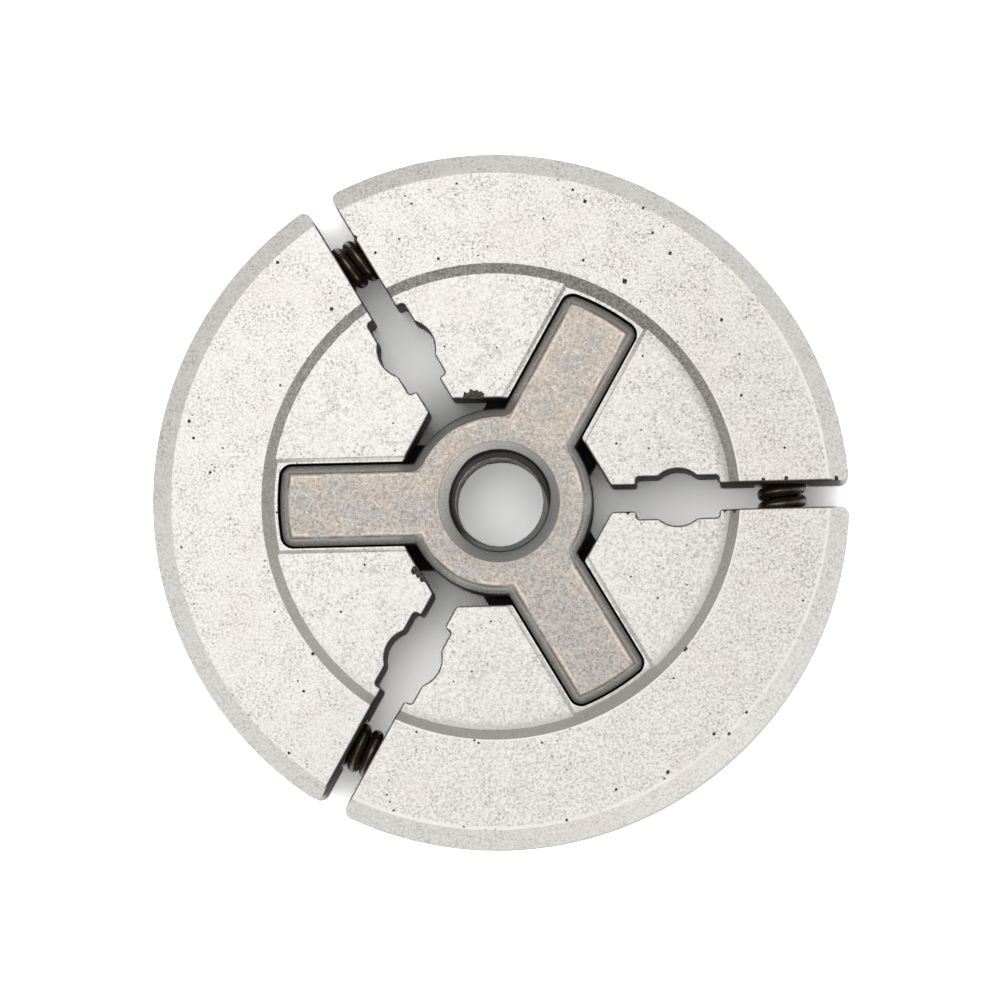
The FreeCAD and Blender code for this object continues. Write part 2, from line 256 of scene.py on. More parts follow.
# Pressed iron of the shoes: how its noise turns into marks
GRAIN_MARKS = (0.59, 0.33)
COARSE_MARKS = (0.55, 0.38)
SWARM_MARKS = (0.38, 0.64)
PATCH_MARKS = (0.52, 0.75)
RING_MARKS = (0.38, 0.68)
WALL_MARKS = (0.3, 0.7)

# Pressed iron of the shoes: how strong its marks are
MOTTLE_BASE = 0.48
MOTTLE_IN_SWARMS = 0.35
MOTTLE_LOST_LOW = 0.5
MOTTLE_ON_ROSY = 0.25
MOTTLE_COARSE = 0.5
BEVEL_CALM = 0.3
HIGHLIGHT_LINE_CALM = 0.8
FAR_BEVEL_SHADE = 0.2
ROSY_SHADE_STRENGTH = 0.15
SPECK_BASE = 0.25
SPECK_IN_SWARMS = 0.55
SPECK_STEEP = 0.3
SPECK_LEVEL = 0.6
PATCH_STRENGTH = 0.22
FOOT_SHADOW_STRENGTH = 0.9
RING_GLINT_STRENGTH = 0.6
RING_STRENGTH = 0.85
WALL_SHADE_STRENGTH = 0.9
POCKET_EASE = 0.6
TURNING_STRENGTH = 0.8
WALL_FOOT_SHADE_STRENGTH = 0.5

# Tempered iron of the spider: its noise and its relief
CRYSTALS = {"size": 0.31 * MM, "roughness": 0.65}
FINE_GRAIN = {"size": 0.16 * MM, "detail": 1.0}
TINT = {"size": 2.5 * MM, "detail": 3.0}
SPIDER_RELIEF = {"depth": 0.25 * MM, "strength": 0.7}
RELIEF_GRAIN = 0.3
RELIEF_BEVEL = 0.25
SPIDER_ROUGHNESS = 0.42

# Tempered iron of the spider: its colours
ARM_GREY = (0.66, 0.615, 0.575, 1)
ARM_COPPER = (0.78, 0.67, 0.58, 1)
CRYSTAL_DARK = (0.40, 0.36, 0.33, 1)
CRYSTAL_PALE = (0.97, 0.91, 0.84, 1)
GRAIN_DARK = (0.42, 0.38, 0.345, 1)
GRAIN_PALE = (0.98, 0.92, 0.86, 1)
SINK_BROWN = (0.58, 0.43, 0.33, 1)
EDGE_PALE = (1.0, 0.93, 0.85, 1)
EDGE_BROWN = (0.36, 0.27, 0.21, 1)
BEVEL_PALE = (0.80, 0.79, 0.745, 1)
BEVEL_GREY = (0.56, 0.55, 0.52, 1)
SINK_GREY = (0.42, 0.42, 0.41, 1)
HUB_GREY = (0.40, 0.40, 0.37, 1)
# Painted shade of the spider's sides
SIDE_SHADE_BLACK = (0.12, 0.11, 0.10, 1)
# Black of the thread's run-out: its oil, and painted shade
OILY_CUT_AND_SHADE_BLACK = (0.03, 0.028, 0.026, 1)

# Tempered iron of the spider: faces told apart by how far they look up
FLAT_FACE = (0.82, 0.95)
SIDE_FACE = (0.35, 0.15)
CUT_FACE = (0.3, 0.6)

# Tempered iron of the spider: zones of its marks
# Painted light: the spider is warmer and paler towards the top
LIT_HIGH_SIDE = (-16 * MM, 16 * MM)
COPPER_EDGE = (-2.5 * MM, 0.0)
SINK_LINE_RADIUS = SINK_RADIUS + 0.35 * MM
SINK_LINE = (0.4 * MM, 0.1 * MM)
PALE_LINE_INSET = 0.28 * MM
PALE_LINE_WAVE = 0.3 * MM
PALE_LINE = (0.14 * MM, 0.04 * MM)
BROWN_LINE = (0.20 * MM, 0.06 * MM)
INSIDE_SINK = (SINK_RADIUS + 0.1 * MM, SINK_RADIUS - 0.1 * MM)
SINK_SHADE_SIDE = (-9 * MM, 4 * MM)
NEAR_HUB = (11 * MM, 10 * MM)
HUB_SHADE_SIDE = (6 * MM, -10 * MM)
# Painted shade: a dark line at the outer edge of the hub's bevel
HUB_EDGE_SHADE = (ARM_BEVEL - 0.17 * MM, ARM_BEVEL - 0.05 * MM)
RUN_OUT = 0.3 * MM
RUN_OUT_LEAST = 0.15
# Painted shade: the run-out is wider towards the top
RUN_OUT_SHADE_SIDE = (0.5 * MM, 4 * MM)
RUN_OUT_SLANT = 0.4
CUT_EDGE = (0.06 * MM, -0.06 * MM)
ON_RIDGE = (THREAD_RADIUS, THREAD_RADIUS - 0.1 * MM)
RIDGE_SHINE_SIDE = (-2 * MM, 3 * MM)

# Tempered iron of the spider: how its noise turns into marks
COPPER_MARKS = (0.42, 0.72)
DARK_CRYSTALS = (0.50, 0.34)
PALE_CRYSTALS = (0.50, 0.70)
DARK_GRAINS = (0.42, 0.28)
PALE_GRAINS = (0.58, 0.74)
PALE_LINE_MARKS = (0.42, 0.58)
BROWN_LINE_MARKS = (0.30, 0.55)
BEVEL_MARKS = (0.7, 0.3)

# Tempered iron of the spider: how strong its marks are
COPPER_AT_EDGE = 0.12
COPPER_LIT_HIGH = 0.2
COPPER_LOST = 0.12
DARK_CRYSTALS_LOW = 0.72
DARK_CRYSTALS_LOST_LIT_HIGH = 0.3
PALE_CRYSTALS_LOW = 0.5
PALE_CRYSTALS_LIT_HIGH = 0.45
DARK_GRAIN_STRENGTH = 0.4
PALE_GRAIN_STRENGTH = 0.5
SINK_LINE_STRENGTH = 0.5
PALE_LINE_STRENGTH = 0.75
BROWN_LINE_STRENGTH = 0.8
HUB_SHADE_STRENGTH = 0.8
SIDE_SHADE_STRENGTH = 0.85
RIDGE_SHINE = 0.7

# Broken iron inside the chips and pits
CRUMBS = {"size": 0.15 * MM}
CRUMB_MARKS = (0.35, 0.65)
CRUMB_BLACK = (0.05, 0.044, 0.038, 1)
CRUMB_BROWN = (0.25, 0.22, 0.19, 1)
CRUMB_RELIEF = {"depth": 0.10 * MM, "strength": 0.8}
BROKEN_ROUGHNESS = 0.7
CRUMB_ROUGHNESS = 0.2
BROKEN_METALLIC = 0.5

# Steel of the springs
WIRE_STAIN = {"size": 0.8 * MM}
WIRE_BROWN = (0.20, 0.15, 0.10, 1)
WIRE_BLACK = (0.03, 0.024, 0.018, 1)
WIRE_ROUGHNESS = 0.16
WIRE_STAIN_ROUGHNESS = 0.2
WIRE_METALLIC = 0.8
WIRE_OIL = 0.6

# Steel of the thread
THREAD_STAIN = {"size": 0.5 * MM}
THREAD_STAIN_MARKS = (0.45, 0.65)
# Near black for oil and for painted shade in the bore, with a pale grey for painted highlights on the crests
THREAD_BLACK = (0.07, 0.066, 0.06, 1)
CREST_HIGHLIGHT_GREY = (0.45, 0.44, 0.42, 1)
CREST_FACE = (THREAD_RADIUS - THREAD_DEPTH * 0.8, THREAD_RADIUS - THREAD_DEPTH)
CREST_BASE = 0.35
CREST_WEAR_AND_HIGHLIGHT = 0.65
THREAD_ROUGHNESS = 0.35
THREAD_STAIN_ROUGHNESS = 0.1
THREAD_METALLIC = 0.9

# Camera
VIEW_DISTANCE = 1.1
VIEW_WIDTH = 0.1
VIEW_TILT = math.radians(3.2)
IMAGE_TURN = math.radians(1.25)
CAMERA_SIDE = math.radians(-58) - IMAGE_TURN
AIM_RIGHT = 0.14 * MM
AIM_UP = 0.09 * MM
SENSOR_WIDTH = 36

# Floor: its own colour, and how much brighter it is for what looks straight at it
FLOOR_HALF = 3.0
FLOOR_COLOUR = (0.92, 0.92, 0.92)
# Painted light: the floor is a little brighter under the part than around it
FLOOR_UNDER = 3.4
FLOOR_AROUND = 3.2
# Painted light: the floor is brighter towards the bottom
FLOOR_LOW = 0.7
FLOOR_MIRRORED = 1.5
UNDER_RADIUS = 26 * MM
AROUND_RADIUS = 33 * MM
HUB_SHADOW_REACH = 17 * MM
HUB_SHADOW_LOW = 0.26
HUB_SHADOW_HIGH = 0.68
# Painted light and shade that even out the floor inside the bore
BORE_EVEN = 0.4

# Light
SKY_TOP = 0.66
SKY_EDGE = 0.14
LOW_SKY = 0.48
LOW_SKY_DIRECTION = (0.5, -0.866, 0)
LOW_SKY_SIDE = (-0.7, 0.1)
LOW_SKY_HEIGHT = (0.8, 0.2)
SKY_COLOUR = (1, 1, 1, 1)
KEY_PLACE = (-0.09, 0.10, 0.31)
KEY_SIZE = 0.29
KEY_GLOW = 1.19
SIDE_PLACE = (0.27, -0.32, 0.20)
SIDE_SIZE = 0.25
SIDE_GLOW = 0.66


class Signal:
    """A socket in a node tree. Arithmetic on signals adds Math nodes."""

    def __init__(self, recipe, socket):
        self.recipe = recipe
        self.socket = socket

    def math(self, operation, first, second=0.0):
        return self.recipe.node("ShaderNodeMath", {"operation": operation}, {0: first, 1: second})

    def __add__(self, other):
        return self.math("ADD", self, other)

    def __radd__(self, other):
        return self.math("ADD", other, self)

    def __sub__(self, other):
        return self.math("SUBTRACT", self, other)

    def __rsub__(self, other):
        return self.math("SUBTRACT", other, self)

    def __mul__(self, other):
        return self.math("MULTIPLY", self, other)

    def __rmul__(self, other):
        return self.math("MULTIPLY", other, self)

    def __truediv__(self, other):
        return self.math("DIVIDE", self, other)

    def __pow__(self, other):
        return self.math("POWER", self, other)

    def __mod__(self, other):
        return self.math("FLOORED_MODULO", self, other)

    def __gt__(self, other):
        return self.math("GREATER_THAN", self, other)

    def __abs__(self):
        return self.math("ABSOLUTE", self)

    def lower(self, other):
        return self.math("MINIMUM", self, other)

    def higher(self, other):
        return self.math("MAXIMUM", self, other)

    def sine(self):
        return self.math("SINE", self)

    def cosine(self):
        return self.math("COSINE", self)

    def fade(self, start, end):
        """0 up to start, 1 from end on and smooth between them; start may also be above end."""
        settings = {"interpolation_type": "SMOOTHSTEP"}
        return self.recipe.node("ShaderNodeMapRange", settings, {"Value": self, 1: start, 2: end})


class Recipe:
    """Adds nodes to one tree."""

    def __init__(self, tree):
        self.tree = tree

    def node(self, kind, settings=None, sockets=None, output=0):
        """A node with its settings made first and its sockets filled after, as the signal it gives."""
        node = self.tree.nodes.new(kind)
        for name, value in (settings or {}).items():
            setattr(node, name, value)
        self.fill(node, sockets or {})
        return Signal(self, node.outputs[output]) if node.outputs else None

    def fill(self, node, sockets):
        """Link signals to a node's sockets and set plain values on them."""
        for name, value in sockets.items():
            if isinstance(value, Signal):
                self.tree.links.new(value.socket, node.inputs[name])
            else:
                node.inputs[name].default_value = value

    def outputs(self, signal):
        """Every output of the node that a signal comes from, by name."""
        return {socket.name: Signal(self, socket) for socket in signal.socket.node.outputs}

    def split(self, vector):
        """The three parts of a vector."""
        return list(self.outputs(self.node("ShaderNodeSeparateXYZ", sockets={0: vector})).values())

    def mix(self, factor, first, second):
        """Two colours mixed by a factor."""
        return self.node("ShaderNodeMix", {"data_type": "RGBA"}, {0: factor, 6: first, 7: second}, output=2)

    def vector_math(self, operation, first, second, output=0):
        """Two vectors worked out together."""
        return self.node("ShaderNodeVectorMath", {"operation": operation}, {0: first, 1: second}, output)


class Finish(Recipe):
    """A material of one principled surface, with the signals that finishes share."""

    def __init__(self, name):
        self.material = bpy.data.materials.new(name)
        self.material.use_nodes = True
        super().__init__(self.material.node_tree)
        places = self.outputs(self.node("ShaderNodeTexCoord"))
        self.place = places["Object"]
        self.x, self.y, self.z = self.split(self.place)
        self.radius = (self.x * self.x + self.y * self.y) ** 0.5
        self.rise = self.split(places["Normal"])[2]

    def cloud(self, size, detail=2.0, roughness=0.5, vector=None):
        """Soft noise whose lumps are about one size across."""
        return self.node("ShaderNodeTexNoise", sockets={
            "Vector": vector or self.place,
            "Scale": 1 / size,
            "Detail": detail,
            "Roughness": roughness,
        })

    def specks(self, spacing, largest):
        """1 inside small round specks of mixed sizes, 0 outside."""
        cell = self.node("ShaderNodeTexVoronoi", sockets={"Vector": self.place, "Scale": 1 / spacing})
        size = self.split(self.outputs(cell)["Color"])[0] * (largest / spacing)
        return (cell / size).fade(*SPECK_EDGE)

    def low_right(self):
        """How far a point lies towards the lower right, seen from the front."""
        return self.x - self.y

    def angle(self):
        """The angle of a point round the axis."""
        return self.y.math("ARCTAN2", self.y, self.x)

    def off_arm(self):
        """The angle between a point and the middle of the nearest arm."""
        return self.angle() % PITCH_ANGLE - PITCH_ANGLE / 2

    def arm_distance(self):
        """How far a point lies outside the flat front of the hub and its arms, below 0 inside it."""
        across = abs(self.radius * self.off_arm().sine())
        arm = (across - ARM_FLAT_HALF).higher(self.radius - ARM_FLAT_REACH)
        return arm.lower(self.radius - HUB_FLAT_RADIUS)

    def arc_radius(self):
        """How far a point of a shoe lies from the centre of the shoe's own arcs."""
        return self.radius + SHOE_TRAVEL * self.off_arm().cosine()

    def gap_distance(self):
        """How far a shoe's front lies outside the gap, recess, tool hole and lug ends beside it."""
        off_gap = (self.angle() + PITCH_ANGLE / 2) % PITCH_ANGLE - PITCH_ANGLE / 2
        along = self.radius * off_gap.cosine() - TOOL_HOLE_CENTRE
        across = abs(self.radius * off_gap.sine())
        past_side = (across - (RECESS_HALF - RECESS_CORNER)).higher(0.0)
        past_end = (abs(along) - (RECESS_LENGTH / 2 - RECESS_CORNER)).higher(0.0)
        recess = (past_side * past_side + past_end * past_end) ** 0.5 - RECESS_CORNER
        hole = (along * along + across * across) ** 0.5 - TOOL_HOLE_RADIUS
        off_lug = abs(self.off_arm()) - PITCH_ANGLE / 4
        lug = self.radius * off_lug.cosine() - LUG_DISTANCE
        return (across - GAP_HALF).lower(recess).lower(hole).lower(lug)

    def bump(self, height, depth, strength):
        """Normals of a surface roughened to a depth."""
        sockets = {"Height": height, "Distance": depth, "Strength": strength}
        return self.node("ShaderNodeBump", sockets=sockets)

    def dress(self, **sockets):
        """Fill the surface's sockets, named with underscores for spaces."""
        surface = self.tree.nodes["Principled BSDF"]
        self.fill(surface, {name.replace("_", " "): value for name, value in sockets.items()})
        return self.material


class Growth(Recipe):
    """A Geometry Nodes tree with named inputs, which turns a base mesh into a plain finished mesh."""

    KINDS = {int: "NodeSocketInt", float: "NodeSocketFloat", bpy.types.Object: "NodeSocketObject"}

    def __init__(self, name, sizes):
        super().__init__(bpy.data.node_groups.new(name, "GeometryNodeTree"))
        self.sizes = sizes
        sockets = self.tree.interface
        sockets.new_socket("Base", in_out="INPUT", socket_type="NodeSocketGeometry")
        for label, size in sizes.items():
            sockets.new_socket(label, in_out="INPUT", socket_type=self.KINDS[type(size)])
        sockets.new_socket("Piece", in_out="OUTPUT", socket_type="NodeSocketGeometry")
        self.inlets = self.outputs(self.node("NodeGroupInput"))

    def random(self, low, high, seed):
        """A different number for each point."""
        return self.node("FunctionNodeRandomValue", sockets={2: low, 3: high, "Seed": seed}, output=1)

    def coat(self, shape, material, where=True):
        """A shape with a material on it, or on the chosen faces of it."""
        sockets = {"Geometry": shape, "Material": material, "Selection": where}
        return self.node("GeometryNodeSetMaterial", sockets=sockets)

    def made_of(self, material):
        """Which faces already have a material."""
        return self.node("GeometryNodeMaterialSelection", sockets={0: material})

    def take_out(self, solid, taken):
        """A solid with the room of other solids taken out of it."""
        settings = {"operation": "DIFFERENCE", "solver": "EXACT"}
        return self.node("GeometryNodeMeshBoolean", settings, {"Mesh 1": solid, "Mesh 2": taken})

    def end(self, shape, material, where=True):
        """The tree's last nodes."""
        real = self.node("GeometryNodeRealizeInstances", sockets={"Geometry": shape})
        self.node("NodeGroupOutput", sockets={0: self.coat(real, material, where)})

    def attach(self, piece, **changes):
        """Put the tree on a piece, with some inputs changed."""
        modifier = piece.modifiers.new(self.tree.name, "NODES")
        modifier.node_group = self.tree
        sizes = {**self.sizes, **changes}
        for socket in self.tree.interface.items_tree:
            if socket.name in sizes:
                modifier[socket.identifier] = sizes[socket.name]


def new_piece(name, mesh):
    """An object for a mesh, in the scene."""
    piece = bpy.data.objects.new(name, mesh)
    bpy.context.scene.collection.objects.link(piece)
    return piece


def plain_mesh(piece):
    """Give a piece the mesh that its modifiers make, and take them off."""
    graph = bpy.context.evaluated_depsgraph_get()
    mesh = bpy.data.meshes.new_from_object(piece.evaluated_get(graph))
    piece.modifiers.clear()
    piece.data = mesh
    mesh.name = piece.name


def painted_highlight_lines(arc):
    """Painted highlights: calm, pale lines along the tops of the ring's slope and of the rim's bevel."""
    ring = abs(arc - RING_HIGHLIGHT_RADIUS).fade(*RING_HIGHLIGHT_LINE)
    return ring.higher(abs(arc - RIM_HIGHLIGHT_RADIUS).fade(*RIM_HIGHLIGHT_LINE))


def pressed_front(finish, grain, arc, low_side):
    """Pale front of a shoe: mottled by fine grain, with specks in swarms and rosy patches, and with painted shade
    and highlights that depend on the side.
    """
    swarms = finish.cloud(**SWARMS).fade(*SWARM_MARKS)
    level = finish.rise.fade(*LEVEL_FACE)
    bevel = finish.rise.fade(*BEVEL_FACE) * finish.radius.fade(*OUTSIDE_STEP)
    # Painted shade: the rim's bevel is greyer towards the upper left.
    shaded_far_side = (finish.y - finish.x).fade(*SHADED_FAR_SIDE)
    # Painted shade: the right side is darker and rosier, and its grain is stronger.
    rosy = (finish.x + finish.y * ROSY_SLANT).fade(*ROSY_SHADE_SIDE) * (1 - bevel)
    mottle = grain.fade(*GRAIN_MARKS) * (MOTTLE_BASE + swarms * MOTTLE_IN_SWARMS)
    # Towards the lower right, the fine grain is painted fainter and a coarser grain stronger, following how the
    # light falls there.
    mottle = mottle * (1 - low_side * MOTTLE_LOST_LOW + rosy * MOTTLE_ON_ROSY)
    mottle = mottle + finish.cloud(**COARSE_GRAIN).fade(*COARSE_MARKS) * low_side * MOTTLE_COARSE
    # Painted highlights: on the lower right, the lines along the ring's top and the rim's bevel stay calm and
    # pale.
    lines = painted_highlight_lines(arc) * level * low_side
    calm = (bevel * BEVEL_CALM).higher(lines * HIGHLIGHT_LINE_CALM)
    # The bevel's painted shade on the upper left goes in here.
    mottle = mottle * (1 - calm) + bevel * shaded_far_side * FAR_BEVEL_SHADE
    # The right side's painted shade, darker and rosier.
    colour = finish.mix(rosy * ROSY_SHADE_STRENGTH, PALE_IRON, ROSY_SHADED_IRON)
    colour = finish.mix(mottle, colour, MOTTLE_GREY)
    specks = finish.specks(**SPECKS) * (SPECK_BASE + swarms * SPECK_IN_SWARMS)
    colour = finish.mix(specks * (SPECK_STEEP + level * SPECK_LEVEL), colour, SPECK_GREY)
    patches = finish.cloud(**PATCHES).fade(*PATCH_MARKS)
    return finish.mix(patches * PATCH_STRENGTH, colour, PATCH_ROSE)


def with_ring(finish, grain, arc, low_side, colour):
    """A shoe's colour with the grey sloping ring. Its grey is partly its duller slope and partly painted shade:
    darker at the top, and blurred at its foot on the lower right by a painted shadow.
    """
    ring = finish.rise.fade(*RING_FACE) * finish.radius.fade(*INSIDE_STEP)
    # Painted shadow: on the lower right, the ring's grey spreads softly onto the plate at its foot.
    foot = arc.fade(*FOOT_START) * arc.fade(*FOOT_END)
    ring = ring.higher(foot * low_side * FOOT_SHADOW_STRENGTH)
    # Painted shade: the ring is darker towards the top and paler towards the bottom.
    shade = finish.mix(finish.y.fade(*RING_SHADE_SIDE), RING_LIT_GREY, RING_SHADED_GREY)
    shade = finish.mix(grain.fade(*RING_MARKS) * RING_GLINT_STRENGTH, shade, RING_GLINT)
    return finish.mix(ring * RING_STRENGTH, colour, shade)


def with_walls(finish, grain, colour):
    """A shoe's colour with painted shade on dark inner walls, in a dark line along the gaps, and in black on low
    faces that look up. Also a ground outer face, whose turning marks are its own and whose darker foot is painted
    shade.
    """
    upright = abs(finish.rise).fade(*WALL_FACE)
    face = finish.radius.fade(*OUTER_FACE)
    pocket = finish.arm_distance().fade(*POCKET_SIDE) * finish.z.fade(*POCKET_HEIGHT)
    # Painted shade: a dark line along the front edges of the gaps, recesses, tool holes and lug ends.
    gap_shade_line = finish.gap_distance().fade(*GAP_SHADE_LINE) * finish.radius.fade(*INSIDE_FACE)
    # Painted shade: the inner walls are near black, blacker towards their top, and a little less dark on the
    # pocket sides.
    wall = finish.mix(grain.fade(*WALL_MARKS), WALL_SHADE_BLACK, WALL_GREY)
    wall = finish.mix(finish.z.fade(*WALL_TOP), wall, WALL_TOP_SHADE_BLACK)
    inner = upright.higher(gap_shade_line) * (1 - face) * (WALL_SHADE_STRENGTH - pocket * POCKET_EASE)
    colour = finish.mix(inner, colour, wall)
    turned = finish.cloud(**TURNING, vector=finish.vector_math("MULTIPLY", finish.place, TURNING_STRETCH))
    # The turning marks are the face's own. The darker foot of the outer face is painted shade next to the floor.
    ground = turned * TURNING_STRENGTH + finish.z.fade(*WALL_FOOT_SHADE) * WALL_FOOT_SHADE_STRENGTH
    colour = finish.mix(upright * face * ground, colour, GROUND_GREY)
    # Painted shade: faces that look up in the lowest few millimetres of the shoe, under the arms, are painted
    # black.
    under = finish.rise.fade(*UPWARD_FACE) * finish.z.fade(*UNDER_HEIGHT)
    return finish.mix(under, colour, UNDER_SHADE_BLACK)


def sintered_iron():
    """Pale pressed metal of the shoes."""
    finish = Finish("sintered_iron")
    grain = finish.cloud(**GRAIN)
    arc = finish.arc_radius()
    # The lower right: here go the painted highlight lines, the painted shadow at the ring's foot, and the grain
    # painted by the light.
    low_side = finish.low_right().fade(*LOW_SIDE)
    colour = pressed_front(finish, grain, arc, low_side)
    colour = with_ring(finish, grain, arc, low_side, colour)
    colour = with_walls(finish, grain, colour)
    return finish.dress(
        Base_Color=colour,
        Roughness=SHOE_ROUGHNESS + grain * GRAIN_ROUGHNESS,
        Metallic=IRON_METALLIC,
        Normal=finish.bump(grain, **SHOE_RELIEF),
    )


def crystal_front(finish, crystals, grain, tint, distance):
    """Warm grey front of the spider: fine crystals, with copper towards the edges, and painted light that makes
    the top warmer, with more copper and paler crystals.
    """
    # Painted light: towards the top, the spider has more copper, fewer dark crystals and more pale ones.
    high = finish.y.fade(*LIT_HIGH_SIDE)
    copper = tint + distance.fade(*COPPER_EDGE) * COPPER_AT_EDGE + high * COPPER_LIT_HIGH - COPPER_LOST
    colour = finish.mix(copper.fade(*COPPER_MARKS), ARM_GREY, ARM_COPPER)
    dark = crystals.fade(*DARK_CRYSTALS) * (DARK_CRYSTALS_LOW - high * DARK_CRYSTALS_LOST_LIT_HIGH)
    colour = finish.mix(dark, colour, CRYSTAL_DARK)
    pale = crystals.fade(*PALE_CRYSTALS) * (PALE_CRYSTALS_LOW + high * PALE_CRYSTALS_LIT_HIGH)
    colour = finish.mix(pale, colour, CRYSTAL_PALE)
    colour = finish.mix(grain.fade(*DARK_GRAINS) * DARK_GRAIN_STRENGTH, colour, GRAIN_DARK)
    colour = finish.mix(grain.fade(*PALE_GRAINS) * PALE_GRAIN_STRENGTH, colour, GRAIN_PALE)
    sink_line = abs(finish.radius - SINK_LINE_RADIUS).fade(*SINK_LINE)
    colour = finish.mix(sink_line * tint * SINK_LINE_STRENGTH, colour, SINK_BROWN)
    pale_line = abs(distance + PALE_LINE_INSET + (tint - 0.5) * PALE_LINE_WAVE).fade(*PALE_LINE)
    pale_line = pale_line * tint.fade(*PALE_LINE_MARKS)
    return finish.mix(pale_line * PALE_LINE_STRENGTH, colour, EDGE_PALE)


def spider_bevel(finish, grain, sunk):
    """Grey of the spider's bevels and of its countersink, each darker on its shaded side."""
    grey = finish.mix(grain.fade(*BEVEL_MARKS), BEVEL_PALE, BEVEL_GREY)
    grey = finish.mix(sunk * finish.low_right().fade(*SINK_SHADE_SIDE), grey, SINK_GREY)
    shaded = finish.radius.fade(*NEAR_HUB) * (1 - sunk) * finish.low_right().fade(*HUB_SHADE_SIDE)
    return finish.mix(shaded * HUB_SHADE_STRENGTH, grey, HUB_GREY)


def with_thread_cut(finish, colour):
    """The spider's colour with a near-black oily cut where the thread runs out into the countersink. Painted shade
    makes it wider towards the top, and a painted highlight lets the ridge show lighter on the lower right.
    """
    # Painted shade: the near-black cut is wider towards the top.
    wider = (finish.y + finish.x * RUN_OUT_SLANT).fade(*RUN_OUT_SHADE_SIDE)
    run_out = (RUN_OUT_LEAST + wider * (1 - RUN_OUT_LEAST)) * RUN_OUT
    cut = (finish.radius - THREAD_RADIUS - run_out).fade(*CUT_EDGE) * finish.rise.fade(*CUT_FACE)
    # Painted highlight: on the lower right, the ridge keeps less of the black and shows lighter.
    shine = finish.radius.fade(*ON_RIDGE) * finish.low_right().fade(*RIDGE_SHINE_SIDE)
    return finish.mix(cut * (1 - shine * RIDGE_SHINE), colour, OILY_CUT_AND_SHADE_BLACK)


def tempered_iron():
    """Warm grey metal of the spider, with browned edges, grey bevels, and painted shade in its dark sides and in a
    dark line round the hub's bevel.
    """
    finish = Finish("tempered_iron")
    crystals = finish.cloud(**CRYSTALS)
    grain = finish.cloud(**FINE_GRAIN)
    tint = finish.cloud(**TINT)
    distance = finish.arm_distance()
    flat = finish.rise.fade(*FLAT_FACE)
    sunk = finish.radius.fade(*INSIDE_SINK)
    front = crystal_front(finish, crystals, grain, tint, distance)
    colour = finish.mix(flat, spider_bevel(finish, grain, sunk), front)
    brown_line = abs(distance).fade(*BROWN_LINE) * tint.fade(*BROWN_LINE_MARKS)
    colour = finish.mix(brown_line * BROWN_LINE_STRENGTH, colour, EDGE_BROWN)
    # Painted shade: the spider's sides are painted near black, and so is a thin line at the outer edge of the
    # hub's bevel.
    edge = distance.fade(*HUB_EDGE_SHADE) * finish.radius.fade(*NEAR_HUB) * (1 - sunk)
    side = abs(finish.rise).fade(*SIDE_FACE).higher(edge)
    colour = finish.mix(side * SIDE_SHADE_STRENGTH, colour, SIDE_SHADE_BLACK)
    relief = (crystals + grain * RELIEF_GRAIN) * (RELIEF_BEVEL + flat)
    return finish.dress(
        Base_Color=with_thread_cut(finish, colour),
        Roughness=SPIDER_ROUGHNESS + grain * GRAIN_ROUGHNESS,
        Metallic=IRON_METALLIC,
        Normal=finish.bump(relief, **SPIDER_RELIEF),
    )


def broken_iron():
    """Dark rough metal inside the pits and chips."""
    finish = Finish("broken_iron")
    crumbs = finish.cloud(**CRUMBS)
    return finish.dress(
        Base_Color=finish.mix(crumbs.fade(*CRUMB_MARKS), CRUMB_BLACK, CRUMB_BROWN),
        Roughness=BROKEN_ROUGHNESS + crumbs * CRUMB_ROUGHNESS,
        Metallic=BROKEN_METALLIC,
        Normal=finish.bump(crumbs, **CRUMB_RELIEF),
    )


def spring_steel():
    """Dark oiled wire with a brown sheen."""
    finish = Finish("spring_steel")
    stain = finish.cloud(**WIRE_STAIN)
    return finish.dress(
        Base_Color=finish.mix(stain, WIRE_BROWN, WIRE_BLACK),
        Roughness=WIRE_ROUGHNESS + stain * WIRE_STAIN_ROUGHNESS,
        Metallic=WIRE_METALLIC,
        Coat_Weight=WIRE_OIL,
    )


def cut_steel():
    """Oily cut metal of the crankshaft thread, near black for its oil and as painted shade in the bore. Its crests
    are painted bright as highlights, patchy like wear.
    """
    finish = Finish("cut_steel")
    stain = finish.cloud(**THREAD_STAIN)
    # Painted highlights on the crests, patchy like wear. The near-black rest stands for oil and the bore's shade.
    crest = finish.radius.fade(*CREST_FACE)
    worn = crest * (CREST_BASE + stain.fade(*THREAD_STAIN_MARKS) * CREST_WEAR_AND_HIGHLIGHT)
    return finish.dress(
        Base_Color=finish.mix(worn, THREAD_BLACK, CREST_HIGHLIGHT_GREY),
        Roughness=THREAD_ROUGHNESS + stain * THREAD_STAIN_ROUGHNESS,
        Metallic=THREAD_METALLIC,
    )


def beside_gap(line):
    """Whether an edge runs along the front of a gap between two shoes."""
    middle = (line.verts[0].co + line.verts[1].co) / 2
    angle = (math.atan2(middle.y, middle.x) + PITCH_ANGLE / 2) % PITCH_ANGLE - PITCH_ANGLE / 2
    reach = math.hypot(middle.x, middle.y)
    front = max(face.normal.z for face in line.link_faces) > math.cos(FLAT_ANGLE)
    return front and reach > GAP_START and abs(reach * math.sin(angle)) < GAP_ZONE


